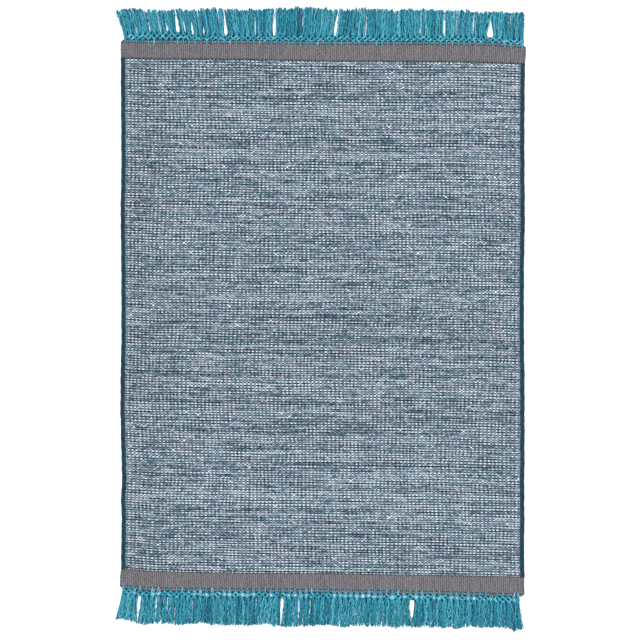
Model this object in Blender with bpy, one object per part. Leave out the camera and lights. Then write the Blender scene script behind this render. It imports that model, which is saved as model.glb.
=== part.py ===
"""A flat-woven wool rug, 1.2 m wide, with a knotted fringe at both ends.

It lies flat on its underside at z = 0, its length along Y, with the head end at +Y.
The cloth is one piece: a thick field of melange weft, and at each end a plain band that
ends in a rolled hem. A wrapped cord binds each side of the field. At each end a strip of
knotted net is hooked along the hem, and the fringe hangs from its last row of knots.
"""

import bmesh
import bpy
from math import exp, floor, pi, sin

MM = 0.001

# The cloth
HALF_LENGTH = 812 * MM
FIELD_THICKNESS = 7.0 * MM
BAND_THICKNESS = 5.5 * MM
BAND_WIDTH = 50 * MM
BAND_STEP = 2 * MM
HEM_EDGE_THICKNESS = 3.5 * MM
HEM_ROLL_HEIGHT = 7.5 * MM
HEM_ROLL_CENTRE = 3 * MM
HEM_ROLL_WIDTH = 8 * MM
CORNER_CUT = 4 * MM
SELVEDGE_EDGE_HEIGHT = 4.5 * MM
SELVEDGE_HEIGHT = 8 * MM

# The side bindings, and the gap that parts one piece from the next
BINDING_WIDTH = 13 * MM
BINDING_ROUND = 3.5 * MM
PIECE_GAP = 0.3 * MM

# The net, from the hem outwards
HOOKS = 69
HOOK_PITCH = 17.37 * MM
NET_OFFSET_X = 3 * MM
ROW_DEPTH = 8.0 * MM
NET_ROWS = 3
CORD_WIDTH = 3.8 * MM
CORD_RIDGE_HEIGHT = 6.5 * MM
CORD_SIDE_HEIGHT = 3.0 * MM
LAST_HOOK = HOOKS - 1
FRINGE_LINE = NET_ROWS * ROW_DEPTH

# The fringe strands
STRAND_WIDTH = 6.4 * MM
STRAND_HEIGHT = 4.6 * MM
STRAND_COVER = 0.8
PARTING_SPREAD = 26 * MM
LENGTH_UNEVENNESS = 2.0 * MM
LENGTH_WAVE = 2.7 * pi / HOOK_PITCH
SIDE_UNEVENNESS = 0.5 * MM
SIDE_WAVE = 1.9 * pi / HOOK_PITCH
STRAND_STOPS = (
    # share of the length, share of the lean, share of the full thickness
    (0.14, 0.1, 1.0),
    (0.55, 0.5, 0.95),
    (1.0, 1.0, 0.6),
)

# Where the sides run, in mm from the middle of the rug.
SIDES = (
    # y, left, right
    (812, -600.0, 600.0),
    (790, -602.0, 602.5),
    (757, -601.0, 600.5),
    (690, -601.0, 601.0),
    (560, -600.0, 600.0),
    (430, -599.5, 600.5),
    (300, -602.0, 601.5),
    (170, -600.0, 599.0),
    (40, -599.5, 598.5),
    (-90, -599.5, 599.0),
    (-160, -601.5, 600.5),
    (-290, -602.5, 600.5),
    (-420, -599.5, 600.5),
    (-490, -597.5, 599.5),
    (-560, -600.5, 600.0),
    (-620, -598.5, 600.0),
    (-700, -600.0, 598.5),
    (-757, -602.5, 599.5),
    (-785, -606.0, 599.0),
    (-812, -602.0, 598.0),
)

# Where the two hems run, in mm from the middle of the rug.
HEMS = (
    # x, head, foot
    (-600, 821.0, -796.0),
    (-500, 818.0, -803.0),
    (-375, 818.0, -805.0),
    (-250, 817.5, -806.0),
    (-125, 816.0, -807.0),
    (0, 815.0, -808.5),
    (125, 814.5, -810.5),
    (250, 814.0, -812.5),
    (375, 814.0, -815.0),
    (500, 812.0, -818.0),
    (600, 808.0, -821.0),
)

# How the fringe falls along each hem, in mm. Lean is how far a tip lies to the right of
# its root, and reach is how far it lies out from the hem.
HEAD_FALL = (
    # x, lean, reach
    (-590, -27, 92),
    (-560, -20, 99),
    (-520, -14, 97),
    (-390, -12, 98),
    (-300, -9, 102),
    (-220, -5, 99),
    (-145, 3, 103),
    (-60, 3, 108),
    (7, 8, 105),
    (40, 13, 100),
    (110, 5, 105),
    (200, 2, 101),
    (290, 1, 104),
    (363, 3, 100),
    (497, 5, 99),
    (540, 0, 101),
    (590, -2, 102),
)
FOOT_FALL = (
    # x, lean, reach
    (-590, -16, 90),
    (-550, -8, 102),
    (-515, -5, 112),
    (-480, -6, 103),
    (-440, -4, 107),
    (-360, -6, 99),
    (-290, -5, 107),
    (-170, -5, 102),
    (-100, -6, 110),
    (-36, -1, 104),
    (50, -5, 104),
    (70, -4, 112),
    (90, -3, 103),
    (240, -4, 107),
    (310, -3, 102),
    (408, -3, 106),
    (450, -4, 98),
    (560, -3, 106),
    (590, -5, 92),
)

# Where the fringe parts, in mm: how far it opens halfway down and at its tips.
HEAD_PARTINGS = (
    # x, middle, tip
    (-550, 4, 3),
    (-472, 6, 2),
    (-429, 9, 4),
    (-387, 6, 0),
    (-288, 5, 0),
    (-200, 6, 2),
    (-145, 11, 4),
    (-60, 5, 3),
    (36, 9, 3),
    (93, 4, 0),
    (291, 4, 3),
    (363, 7, 3),
    (396, 4, 3),
    (450, 5, 2),
    (497, 13, 0),
)
FOOT_PARTINGS = (
    # x, middle, tip
    (-545, 10, 3),
    (-494, 5, 4),
    (-460, 6, 3),
    (-385, 5, 1),
    (-361, 0, 5),
    (-198, 3, 1),
    (-121, 9, 4),
    (-70, 5, 1),
    (-36, 6, 3),
    (265, 12, 3),
)

# Base colour and roughness of each yarn
YARNS = {
    "melange_wool": ((0.21, 0.27, 0.33), 0.95),
    "teal_binding_yarn": ((0.03, 0.085, 0.11), 0.9),
    "turquoise_fringe_yarn": ((0.06, 0.29, 0.38), 0.85),
}


def clear_scene():
    for thing in list(bpy.data.objects):
        bpy.data.objects.remove(thing, do_unlink=True)


def yarn_material(name):
    colour, roughness = YARNS[name]
    material = bpy.data.materials.new(name)
    material.use_nodes = True
    shader = material.node_tree.nodes["Principled BSDF"]
    shader.inputs["Base Color"].default_value = (*colour, 1.0)
    shader.inputs["Roughness"].default_value = roughness
    shader.inputs["Metallic"].default_value = 0.0
    return material


def make_object(name, bm, material):
    """Turn a finished bmesh into a named object with all its faces pointing out."""
    bmesh.ops.recalc_face_normals(bm, faces=bm.faces)
    mesh = bpy.data.meshes.new(name)
    bm.to_mesh(mesh)
    bm.free()
    mesh.materials.append(material)
    thing = bpy.data.objects.new(name, mesh)
    bpy.context.scene.collection.objects.link(thing)
    return thing


def read_table(table, where, column):
    """Read one column of a table in mm, in metres, on straight lines between its rows."""
    rows = sorted(table)
    where = where / MM
    if where <= rows[0][0]:
        return rows[0][column] * MM
    for low, high in zip(rows, rows[1:]):
        if where <= high[0]:
            share = (where - low[0]) / (high[0] - low[0])
            return (low[column] + share * (high[column] - low[column])) * MM
    return rows[-1][column] * MM


def head_hem(x):
    return read_table(HEMS, x, 1)


def foot_hem(x):
    return read_table(HEMS, x, 2)


def left_side(y):
    return read_table(SIDES, y, 1)


def right_side(y):
    return read_table(SIDES, y, 2)


def lie_between_hems(x, y):
    """Carry a level row at y to its true place between the slanting hems."""
    share = (y + HALF_LENGTH) / (2 * HALF_LENGTH)
    return foot_hem(x) + share * (head_hem(x) - foot_hem(x))


def cloth_rows():
    """The rows across the cloth: their place along Y, and their thickness."""
    end_rows = (
        (HALF_LENGTH, HEM_EDGE_THICKNESS),
        (HALF_LENGTH - HEM_ROLL_CENTRE, HEM_ROLL_HEIGHT),
        (HALF_LENGTH - HEM_ROLL_WIDTH, BAND_THICKNESS),
        (HALF_LENGTH - BAND_WIDTH, BAND_THICKNESS),
        (HALF_LENGTH - BAND_WIDTH - BAND_STEP, FIELD_THICKNESS),
    )
    field_end = HALF_LENGTH - BAND_WIDTH - BAND_STEP
    rows = [(sign * y, thickness) for y, thickness in end_rows for sign in (-1, 1)]
    for y, _, _ in SIDES:
        if abs(y * MM) < field_end - BAND_STEP:
            rows.append((y * MM, FIELD_THICKNESS))
    return sorted(rows)


def cloth_columns(y):
    """The columns along the cloth where it crosses the level row at y."""
    left = left_side(y)
    right = right_side(y)
    margin = BINDING_WIDTH + PIECE_GAP
    inner = [x * MM for x, _, _ in HEMS[1:-1]]
    left_columns = [left, left + margin / 2, left + margin]
    right_columns = [right - margin, right - margin / 2, right]
    return left_columns + inner + right_columns


def build_cloth(material):
    rows = cloth_rows()
    last_row = len(rows) - 1
    last_column = len(cloth_columns(0.0)) - 1
    notch_end = HALF_LENGTH - BAND_WIDTH
    bm = bmesh.new()
    bmesh.ops.create_grid(bm, x_segments=last_column, y_segments=last_row, size=0.5)
    place = {}
    for vert in bm.verts:
        column = round((vert.co.x + 0.5) * last_column)
        row = round((vert.co.y + 0.5) * last_row)
        place[vert] = (column, row)

    notch = []
    for face in bm.faces:
        columns = [place[vert][0] for vert in face.verts]
        beside_field = all(abs(rows[place[vert][1]][0]) <= notch_end for vert in face.verts)
        outside = max(columns) <= 2 or min(columns) >= last_column - 2
        if beside_field and outside:
            notch.append(face)

    for vert, (column, row) in place.items():
        level_y, thickness = rows[row]
        x = cloth_columns(level_y)[column]
        y = lie_between_hems(x, level_y)
        from_side = min(column, last_column - column)
        at_hem = row in (0, last_row)
        if from_side == 0:
            thickness = min(thickness, SELVEDGE_EDGE_HEIGHT)
            if at_hem:
                x += CORNER_CUT if column == 0 else -CORNER_CUT
                y += CORNER_CUT if row == 0 else -CORNER_CUT
        elif from_side == 1 and not at_hem:
            thickness = SELVEDGE_HEIGHT
        vert.co = (x, y, thickness)

    bmesh.ops.delete(bm, geom=notch, context="FACES")
    give_flat_underside(bm)
    return make_object("woven_cloth", bm, material)


def give_flat_underside(bm):
    """Close a sheet of top faces into a solid that rests on z = 0."""
    lower = bmesh.ops.extrude_face_region(bm, geom=bm.faces[:])
    for part in lower["geom"]:
        if isinstance(part, bmesh.types.BMVert):
            part.co.z = 0.0


def build_binding(name, side, material):
    """A wrapped cord along one side of the field, side being -1 for left or 1 for right."""
    profile = (
        # across from the outer edge, up
        (0.0, 0.0),
        (0.0, SELVEDGE_EDGE_HEIGHT),
        (BINDING_ROUND, SELVEDGE_HEIGHT),
        (BINDING_WIDTH - BINDING_ROUND, SELVEDGE_HEIGHT),
        (BINDING_WIDTH, SELVEDGE_EDGE_HEIGHT),
        (BINDING_WIDTH, 0.0),
    )
    end = HALF_LENGTH - BAND_WIDTH - PIECE_GAP
    stops = [y for y, _ in cloth_rows() if abs(y) < end - BAND_STEP]
    stops = [-end] + stops + [end]
    edge = left_side if side < 0 else right_side

    def section(y):
        points = []
        for across, up in profile:
            x = edge(y) - side * across
            points.append((x, lie_between_hems(x, y), up))
        return points

    bm = bmesh.new()
    first = bm.faces.new([bm.verts.new(point) for point in section(stops[0])])
    grown = bmesh.ops.extrude_face_region(bm, geom=[first])
    face = [part for part in grown["geom"] if isinstance(part, bmesh.types.BMFace)][0]
    for stop in stops[1:]:
        for vert, point in zip(face.verts, section(stop)):
            vert.co = point
        if stop < end:
            face = bmesh.ops.extrude_discrete_faces(bm, faces=[face])["faces"][0]
    return make_object(name, bm, material)


def net_node(bm, nodes, column, row):
    """The knot at a half-column and a row of the net, made once. Y is the way out."""
    if (column, row) not in nodes:
        x = column * HOOK_PITCH / 2
        nodes[(column, row)] = bm.verts.new((x, row * ROW_DEPTH, CORD_RIDGE_HEIGHT))
    return nodes[(column, row)]


def net_face(bm, nodes, corners):
    return bm.faces.new([net_node(bm, nodes, column, row) for column, row in corners])


def net_diamond(bm, nodes, column, row):
    corners = ((column, row - 1), (column + 1, row), (column, row + 1), (column - 1, row))
    return net_face(bm, nodes, corners)


def build_net(bm):
    """A sheet of crossing cords, open between them, with its hem edge along y = 0."""
    nodes = {}
    open_diamonds = []
    last_diamonds = []
    for column in range(-LAST_HOOK - 1, LAST_HOOK + 2):
        even = (column + LAST_HOOK) % 2 == 0
        if even:
            first = net_diamond(bm, nodes, column, 1)
            last_diamonds.append(net_diamond(bm, nodes, column, NET_ROWS))
            if abs(column) < LAST_HOOK:
                open_diamonds.append(first)
        else:
            net_face(bm, nodes, ((column - 1, 0), (column + 1, 0), (column, 1)))
            second = net_diamond(bm, nodes, column, 2)
            if abs(column) < LAST_HOOK:
                open_diamonds.append(second)

    bm.normal_update()
    inset = bmesh.ops.inset_individual(
        bm,
        faces=open_diamonds + last_diamonds,
        thickness=CORD_WIDTH / 2,
        use_even_offset=True,
    )
    beyond = [face for face in inset["faces"] if face.calc_center_median().y > FRINGE_LINE]
    for face in open_diamonds + last_diamonds:
        for vert in face.verts:
            vert.co.z = CORD_SIDE_HEIGHT
    spare = open_diamonds + last_diamonds + beyond
    bmesh.ops.delete(bm, geom=spare, context="FACES")

    end = LAST_HOOK * HOOK_PITCH / 2 + CORD_WIDTH / 2
    for side in (-1, 1):
        everything = bm.verts[:] + bm.edges[:] + bm.faces[:]
        bmesh.ops.bisect_plane(
            bm,
            geom=everything,
            plane_co=(side * end, 0, 0),
            plane_no=(side, 0, 0),
            clear_outer=True,
        )
    give_flat_underside(bm)


def parting_shift(x, partings, column):
    """How far the partings on both sides push a strand that is rooted at x."""
    shift = 0.0
    for row in partings:
        away = x - row[0] * MM
        half_gap = row[column] * MM / 2
        shift += (1 if away > 0 else -1) * half_gap * exp(-abs(away) / PARTING_SPREAD)
    return shift


def strand_rings(base, fall, partings):
    """The stops of the strand rooted at base: share of its length, place, thickness."""
    lean = read_table(fall, base, 1)
    sway = SIDE_UNEVENNESS * sin(base * SIDE_WAVE)
    middle_shift = parting_shift(base, partings, 1) + sway
    tip_shift = parting_shift(base, partings, 2)
    shifts = (0.0, middle_shift, tip_shift)
    rings = []
    for (share, lean_share, size), shift in zip(STRAND_STOPS, shifts):
        rings.append((share, base + lean_share * lean + shift, size))
    return rings


def grow_strand(bm, root, fall, partings):
    """Draw one wall of a knot out into a strand of three sides, level on the floor."""
    root_x = root.calc_center_median().x
    knot_x = (floor(root_x / HOOK_PITCH) + 0.5) * HOOK_PITCH
    base = knot_x + (1 if root_x > knot_x else -1) * HOOK_PITCH / 4
    unevenness = LENGTH_UNEVENNESS * sin(base * LENGTH_WAVE)
    length = read_table(fall, base, 2) + unevenness - FRINGE_LINE
    before = strand_rings(base - HOOK_PITCH / 2, fall, partings)
    rings = strand_rings(base, fall, partings)
    after = strand_rings(base + HOOK_PITCH / 2, fall, partings)
    face = root
    for ring, left, right in zip(rings, before, after):
        share, x, size = ring
        y = FRINGE_LINE + share * length
        room = STRAND_COVER * min(x - left[1], right[1] - x)
        half = min(STRAND_WIDTH * size, room) / 2
        face = bmesh.ops.extrude_discrete_faces(bm, faces=[face])["faces"][0]
        corners = sorted(face.verts, key=lambda vert: (vert.co.z > 0, vert.co.x))
        corners[0].co = (x - half, y, 0)
        corners[1].co = (x + half, y, 0)
        for vert in corners[2:]:
            vert.co = (x, y, STRAND_HEIGHT * size)
        if len(corners) > 3:
            bmesh.ops.pointmerge(bm, verts=corners[2:], merge_co=corners[2].co)


def build_fringe(name, outward, hem, fall, partings, material):
    """One end's net and strands, outward being 1 for the head and -1 for the foot."""
    bm = bmesh.new()
    build_net(bm)
    roots = [face for face in bm.faces if all(on_fringe_line(vert) for vert in face.verts)]
    roots.sort(key=lambda face: face.calc_center_median().x)
    for root in roots:
        grow_strand(bm, root, fall, partings)
    for vert in bm.verts:
        x = vert.co.x + NET_OFFSET_X
        y = hem(x) + outward * (PIECE_GAP + vert.co.y)
        vert.co = (x, y, vert.co.z)
    return make_object(name, bm, material)


def on_fringe_line(vert):
    return abs(vert.co.y - FRINGE_LINE) < 0.01 * MM


def main():
    clear_scene()
    wool = yarn_material("melange_wool")
    teal = yarn_material("teal_binding_yarn")
    turquoise = yarn_material("turquoise_fringe_yarn")
    build_cloth(wool)
    build_binding("binding_left", -1, teal)
    build_binding("binding_right", 1, teal)
    build_fringe("fringe_head", 1, head_hem, HEAD_FALL, HEAD_PARTINGS, turquoise)
    build_fringe("fringe_foot", -1, foot_hem, FOOT_FALL, FOOT_PARTINGS, turquoise)


main()
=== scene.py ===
"""The looks of a flat-woven wool rug, laid flat on a pale floor.

It has a thick field in melange weft, a ribbed grey band at each end, a wrapped teal cord
down each side, and at each end a knotted net with a loose turquoise fringe. Every piece
has its own operator, listed in the sidebar of the 3D view under Wool Rug.
"""

from math import pi, tau
from typing import NamedTuple

import bmesh
import bpy
import numpy as np
from bpy.props import FloatProperty, FloatVectorProperty, IntProperty, PointerProperty
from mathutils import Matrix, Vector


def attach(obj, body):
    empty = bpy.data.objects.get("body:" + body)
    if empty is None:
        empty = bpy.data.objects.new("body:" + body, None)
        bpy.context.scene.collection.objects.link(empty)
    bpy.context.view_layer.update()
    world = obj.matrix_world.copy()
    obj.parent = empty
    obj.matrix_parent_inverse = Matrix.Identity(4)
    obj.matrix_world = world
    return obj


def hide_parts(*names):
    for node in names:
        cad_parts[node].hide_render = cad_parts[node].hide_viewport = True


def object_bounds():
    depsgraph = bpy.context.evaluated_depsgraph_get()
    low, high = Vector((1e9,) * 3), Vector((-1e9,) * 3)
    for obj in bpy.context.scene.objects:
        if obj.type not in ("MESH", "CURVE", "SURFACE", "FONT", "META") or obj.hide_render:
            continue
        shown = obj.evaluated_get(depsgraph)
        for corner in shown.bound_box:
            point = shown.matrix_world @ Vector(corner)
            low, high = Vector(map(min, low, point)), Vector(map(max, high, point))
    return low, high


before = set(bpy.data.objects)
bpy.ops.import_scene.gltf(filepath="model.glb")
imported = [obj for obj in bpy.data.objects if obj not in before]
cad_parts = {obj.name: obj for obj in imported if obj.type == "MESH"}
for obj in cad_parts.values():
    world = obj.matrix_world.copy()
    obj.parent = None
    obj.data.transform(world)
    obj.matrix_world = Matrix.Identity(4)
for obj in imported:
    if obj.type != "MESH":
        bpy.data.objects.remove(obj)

bl_info = {
    "name": "Wool Rug",
    "version": (1, 0, 0),
    "blender": (4, 5, 0),
    "location": "View3D > Sidebar > Wool Rug",
    "description": "Makes a flat-woven wool rug with a knotted fringe",
    "category": "Object",
}

CAD_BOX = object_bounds()
MM = 0.001
SEED = 7

# The cloth
HALF_LENGTH = 812 * MM
BAND_WIDTH = 50 * MM
FIELD_HALF_LENGTH = HALF_LENGTH - BAND_WIDTH
BINDING_OVERLAP = 0.8 * MM
FIELD_EDGE_HEIGHT = 3.5 * MM
BEAD_SPREAD = (0.7, 1.3)
NET_OFFSET_X = 3 * MM

# Where the sides run, in mm from the middle of the rug.
SIDES = (
    # y, left, right
    (-812, -604.5, 600.5),
    (-785, -603.5, 599.5),
    (-757, -600.0, 600.5),
    (-700, -600.0, 598.5),
    (-620, -598.5, 600.0),
    (-560, -600.5, 600.0),
    (-490, -597.5, 599.5),
    (-420, -599.5, 600.5),
    (-290, -602.5, 600.5),
    (-160, -601.5, 600.5),
    (-90, -599.5, 599.0),
    (40, -599.5, 598.5),
    (170, -600.0, 599.0),
    (300, -602.0, 601.5),
    (430, -599.5, 600.5),
    (560, -600.0, 600.0),
    (690, -601.0, 601.0),
    (757, -601.0, 601.5),
    (790, -602.0, 604.5),
    (812, -601.5, 604.5),
)

# Where the hems and the joints between field and bands run, in mm from the middle of the rug.
HEMS = (
    # x, head hem, head joint, foot joint, foot hem
    (-600, 821.0, 772.5, -744.5, -796.0),
    (-500, 818.0, 769.5, -751.5, -803.0),
    (-375, 818.0, 769.5, -754.0, -805.0),
    (-250, 817.5, 768.0, -757.0, -806.0),
    (-125, 816.0, 765.3, -757.5, -807.0),
    (0, 815.0, 763.2, -758.0, -808.5),
    (125, 814.5, 762.2, -760.5, -810.5),
    (250, 814.0, 761.7, -762.5, -812.5),
    (375, 814.0, 761.1, -764.5, -815.0),
    (500, 811.5, 758.5, -766.5, -819.0),
    (600, 804.5, 754.5, -769.5, -822.0),
)

# How the fringe falls along each hem, in mm. Lean is how far a tip lies to the right of
# its root, and reach is how far it lies out from the hem.
HEAD_FALL = (
    # x, lean, reach
    (-590, -22, 92),
    (-560, -20, 99),
    (-520, -14, 97),
    (-390, -12, 98),
    (-300, -9, 102),
    (-220, -5, 99),
    (-145, 3, 103),
    (-60, 3, 108),
    (7, 8, 105),
    (40, 13, 100),
    (110, 5, 105),
    (200, 2, 101),
    (290, 1, 104),
    (363, 3, 100),
    (497, 5, 99),
    (540, 0, 101),
    (590, 1, 102),
)
FOOT_FALL = (
    # x, lean, reach
    (-590, -16, 98),
    (-565, -12, 100),
    (-550, -8, 105),
    (-515, -5, 112),
    (-480, -6, 103),
    (-440, -4, 107),
    (-360, -6, 99),
    (-290, -5, 107),
    (-170, -5, 102),
    (-100, -6, 110),
    (-36, -1, 104),
    (50, -5, 104),
    (70, -4, 112),
    (90, -3, 103),
    (240, -4, 107),
    (310, -3, 102),
    (408, -3, 106),
    (450, -4, 98),
    (503, -3, 101),
    (527, -2, 97),
    (548, 0, 102),
    (568, 5, 109),
    (585, 11, 101),
)

# Where the fringe parts, in mm: how far it opens near its roots, halfway and at its tips.
HEAD_PARTINGS = (
    # x, low, middle, tip
    (-550, 4, 3, 4),
    (-513, 5, 3, 0),
    (-481, 4, 4, 3),
    (-462, 6, 6, 1),
    (-429, 10, 11, 4),
    (-410, 5, 4, 0),
    (-387, 7, 6, 0),
    (-355, 6, 2, 0),
    (-288, 9, 4, 0),
    (-199, 4, 5, 2),
    (-145, 7, 10, 6),
    (-108, 2, 3, 0),
    (-60, 0, 5, 3),
    (-19, 2, 3, 0),
    (36, 6, 8, 2),
    (93, 3, 4, 0),
    (127, 3, 2, 0),
    (291, 4, 4, 3),
    (303, 3, 2, 0),
    (361, 6, 7, 3),
    (396, 3, 4, 3),
    (414, 2, 2, 0),
    (446, 4, 5, 2),
    (497, 17, 9, 0),
)
FOOT_PARTINGS = (
    # x, low, middle, tip
    (-545, 9, 10, 3),
    (-494, 4, 5, 4),
    (-476, 3, 4, 4),
    (-460, 5, 5, 0),
    (-439, 3, 3, 2),
    (-385, 4, 5, 1),
    (-361, 0, 0, 5),
    (-198, 3, 3, 1),
    (-121, 9, 9, 4),
    (-70, 4, 5, 1),
    (-36, 4, 6, 3),
    (36, 2, 2, 0),
    (266, 13, 11, 1),
)

# How far the hooks through a hem sit to the right of an even row, in mm.
HEAD_SHIFTS = (
    # x, shift
    (0, 0.0),
)
FOOT_SHIFTS = (
    # x, shift
    (-590, -5.0),
    (-555, -8.5),
    (-500, -5.0),
    (-420, -3.0),
    (-83, 0.8),
    (72, -5.2),
    (320, -2.7),
    (450, -4.5),
    (530, -5.5),
    (578, -7.0),
    (595, -13.0),
)

# How far out from the hem the last knots of each net lie, in mm.
HEAD_NET = (
    # x, depth
    (-540, 21.0),
    (-515, 30.0),
    (-412, 30.0),
    (-390, 21.0),
)
FOOT_NET = (
    # x, depth
    (0, 23.5),
)

# The band's rows from the field to the hem, in mm.
BAND_ROWS = (
    # out from the hem line, height, how strongly the ribs show
    (-50.6, 4.6, 0.4),
    (-49.4, 5.5, 1.0),
    (-40.0, 5.6, 1.0),
    (-30.0, 5.6, 1.0),
    (-20.0, 5.6, 1.0),
    (-10.0, 5.7, 1.0),
    (-6.5, 6.2, 1.0),
    (-4.0, 6.8, 0.9),
    (-2.2, 6.4, 0.7),
    (-1.2, 5.2, 0.4),
    (-0.2, 5.1, 0.2),
    (1.0, 6.6, 0.0),
    (2.8, 7.6, 0.0),
    (4.8, 7.0, 0.0),
    (6.6, 5.0, 0.0),
    (7.8, 2.2, 0.0),
)
RIB_COLUMNS = 4
RIB_HEIGHT = 0.45 * MM
SELVEDGE_RIBS = 2
SELVEDGE_RISE = 1.1 * MM
SELVEDGE_DROP = 2.5 * MM
SELVEDGE_FADE = 6 * MM
HEM_ROLL = 8 * MM
CORNER_CUT = 7 * MM
LOOP_ROUNDNESS = 0.6
BETWEEN_LOOPS = (0.5, 0.62)
THINNEST_HEM = 1 * MM

# The picks and warps of the field wander in slow waves, and less near the joints and sides.
PICK_DRIFTS = (
    # width in mm, radians per metre along x and along y
    (0.5, 11, 3),
    (0.3, 29, -7),
    (1.3, 2.3, 58),
    (0.7, -5.1, 127),
)
WARP_DRIFTS = (
    # width in mm, radians per metre along x and along y
    (3.6, 2.3, 6.1),
    (2.0, -4.1, 15.3),
    (0.7, 9, 41),
    (1.2, 44, 5),
    (0.7, 97, -8),
)
STEADY_PICKS = 8
STEADIEST_SHARE = 0.2
STEADY_WARPS = 12
EDGE_WARPS = 3

# The binding's two cords, in mm: its section from the outer edge, over, and back below.
BINDING_SECTION = (
    # across, up
    (0.6, 0.0),
    (0.0, 2.0),
    (0.1, 4.2),
    (1.1, 6.4),
    (2.6, 7.6),
    (4.1, 7.8),
    (5.6, 7.0),
    (6.6, 5.6),
    (7.6, 6.9),
    (9.0, 7.7),
    (10.5, 7.4),
    (11.9, 6.2),
    (12.7, 4.2),
    (12.6, 0.0),
)
WRAP_RINGS = 4
WRAP_DEPTH = 0.5 * MM
WRAP_SLANT = 1.6
WRAP_ROUNDNESS = 0.7
WRAP_LEVEL = 0.6
WRAP_FROM = 1 * MM
BINDING_SWAYS = (
    # width in mm, radians per metre along the side, radians apart on the two sides
    (0.35, 190, 1),
    (0.3, 71, 0),
)

# The net, from the hem outwards
LEG_RINGS = 8
LEG_SIDES = 8
HOOK_STOPS = (
    # out from the hem line, height of the yarn's middle, in mm
    (-3.2, 3.2),
    (-2.2, 6.2),
    (-0.2, 7.6),
    (2.2, 8.4),
    (4.6, 8.2),
    (6.8, 6.8),
    (8.4, 5.2),
    (9.4, 4.6),
)
KNOT_ROWS = (0.4, 0.71, 1.0)
KNOT_HEIGHT = 4.8 * MM
KNOT_JITTER = 1.7 * MM
KNOT_SHAPE = (1.2544, 1.12, 1.064)
KNOT_SPREAD = (0.85, 1.15)
KNOT_LIFT = 0.6 * MM
KNOT_CHANCES = (0.2, 1.0)
OUTER_KNOT_SHARE = 0.1
LEG_RISE = 1.3
LEG_DIP = -0.9
CORD_SPREAD = (0.75, 1.2)
CORD_CHANCES = (0.35, 0.95)
CORD_FLATNESS = 0.9
PLY_DEPTH = 0.16
PLY_TURN = 7.5 * MM

# The flat yarns below the net, from just outside the hem to just past the last knots
GROUND_SIDES = 6
GROUND_RINGS = 4
GROUND_START = 2 * MM
GROUND_PAST = 3 * MM
GROUND_HEIGHT = 1.7 * MM
GROUND_SHARE = 0.27
GROUND_FLATNESS = 0.36

# The loose yarns of the fringe. A share of the way along a yarn is 0 at its root, 1 at its tip.
YARN_SIDES = 6
YARN_SPREAD = (0.8, 1.15)
YARN_REACH = (-5.5 * MM, 2.5 * MM, 7.5 * MM)
YARN_SWELL = (
    # shares of the way, and how thick a yarn is there
    (0.0, 0.1, 0.85, 0.95, 1.0),
    (1.0, 1.0, 1.0, 1.1, 0.5),
)
ROOT_TUCK = 1 * MM
ROOT_MARGINS = (2.5 * MM, 1.5 * MM)
PLY_TURN_LOOSE = 6.5 * MM
PARTING_SPREAD = 17 * MM
PARTING_STOPS = (0.0, 0.16, 0.5, 1.0)
PARTING_ROOTS = (0.8, 1.2)
PARTING_WIDTH = 1.15
FAN_SHARE = 0.34
LEAN_CURVE = 1.15
TIP_SCATTER = 2.0 * MM
TIP_SHARE = 0.3
# Shares of the way along a yarn at which each layer's painted shade is given
PAINTED_SHADE_STOPS = (0.0, 0.3, 0.9)
MOST_TUFTS = 200
TUFT_MARGIN = 12 * MM
TUFT_WIDTHS = (8 * MM, 24 * MM)
TUFT_REACH = (-2.5 * MM, 2.0 * MM)
TUFT_ROUNDING = 2.0 * MM
TUFT_PULL = 0.06
SWAYS = (
    # radians along a whole yarn, and width as a share of the layer's wander
    (5, 0.6),
    (14, 0.55),
    (27, 0.6),
)
SWAY_TURNS = (0.6, 1.4)
SWAY_WIDTHS = (0.2, 1.0)
SWAY_CURVE = 0.6
SETTLE_SHARE = 0.3
DROOP_SHARE = 0.4
DROOP_DEPTH = 0.35
DROOP_FLOOR = 1.9 * MM


class Layer(NamedTuple):
    """One of the layers of yarn that lie over each other in a fringe

    Yarns is the setting that counts them. Widths and thickness are shares of the hook pitch and
    the yarn width, and the last numbers give how far painted shade darkens the layer at the
    stops along a yarn.
    """

    yarns: str
    rings: int
    root_width: float
    thickness: float
    flatness: float
    wander: float
    root_height: float
    heights: tuple
    painted_shades: tuple


LAYERS = (
    Layer(
        yarns="lower_yarns",
        rings=7,
        root_width=1.0,
        thickness=2.2,
        flatness=0.6,
        wander=0.5 * MM,
        root_height=1.9 * MM,
        heights=(1.7 * MM, 1.9 * MM),
        painted_shades=(1.0, 0.95, 0.6),
    ),
    Layer(
        yarns="upper_yarns",
        rings=17,
        root_width=0.6,
        thickness=0.95,
        flatness=0.9,
        wander=2.6 * MM,
        root_height=5.0 * MM,
        heights=(3.4 * MM, 5.2 * MM),
        painted_shades=(0.1, 0.0, 0.0),
    ),
    Layer(
        yarns="stray_yarns",
        rings=17,
        root_width=0.3,
        thickness=0.8,
        flatness=0.9,
        wander=5.2 * MM,
        root_height=5.6 * MM,
        heights=(4.6 * MM, 6.4 * MM),
        painted_shades=(0.0, 0.0, 0.0),
    ),
)

# The stage
FLOOR_SIZE = 6.0
FLOOR_DROP = 0.2 * MM
LAMP_TURN = (-0.62, -0.42, 0.0)
CAMERA_PLACE = (-8.3 * MM, -5.9 * MM)
SENSOR_WIDTH = 36.0
FOCUS_SHARE = 0.6
FLOOR_SHINE = 0.1
FLOOR_GLOW = 0.3

# The angle past which an edge stays sharp
SHARP_ANGLE = 1.2
YARN_SHARP_ANGLE = 2.0

# Wool's finish
WOOL_FINISH = {
    "Metallic": 0.0,
    "Specular IOR Level": 0.22,
    "Sheen Weight": 0.05,
    "Sheen Roughness": 0.6,
}
WOOL_ROUGHNESS = (0.82, 0.97)
FIBRE_SCALE = 850.0
FIBRE_RELIEF = 0.5
BUMP_STRENGTH = 0.8
GROOVE_WIDTH = 0.42

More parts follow.
